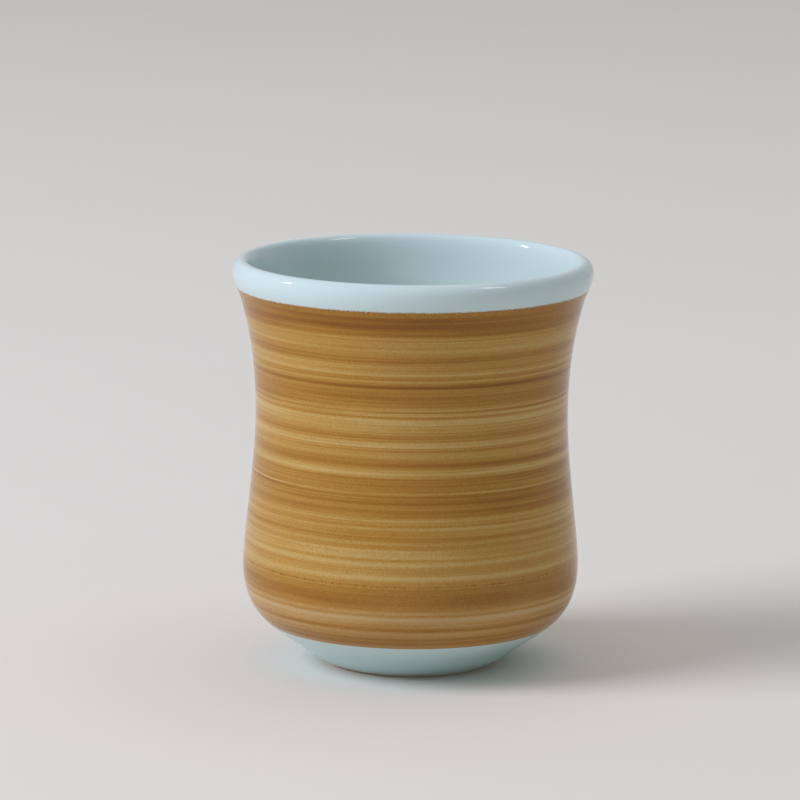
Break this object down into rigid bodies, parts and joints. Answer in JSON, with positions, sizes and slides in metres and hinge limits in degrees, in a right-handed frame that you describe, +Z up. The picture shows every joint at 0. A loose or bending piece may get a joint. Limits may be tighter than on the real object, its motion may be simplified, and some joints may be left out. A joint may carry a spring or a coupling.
{
  "type": "coffee cup",
  "caption": "Handleless porcelain coffee cup with a waisted body, a soft rolled lip and a small bare foot, in pale glaze with a brown streaked band around the outside.",
  "frame": {"origin": "centre of the standing ring, on the table", "axes": "+Z up along the cup's axis of turning; X and Y are free, since the body is round"},
  "size_m": [0.08, 0.08, 0.0907],
  "materials": {
    "bare_porcelain": "unglazed, fine and matt",
    "pale_glaze": "gloss, pale blue-white",
    "streaked_glaze": "gloss, golden brown brushed in level streaks"
  },
  "bodies": {
    "root": {"porcelain_body": "bare_porcelain", "liner_glaze": "pale_glaze", "streaked_band": "streaked_glaze", "foot_glaze": "pale_glaze", "base_glaze": "pale_glaze"}
  },
  "joints": []
}
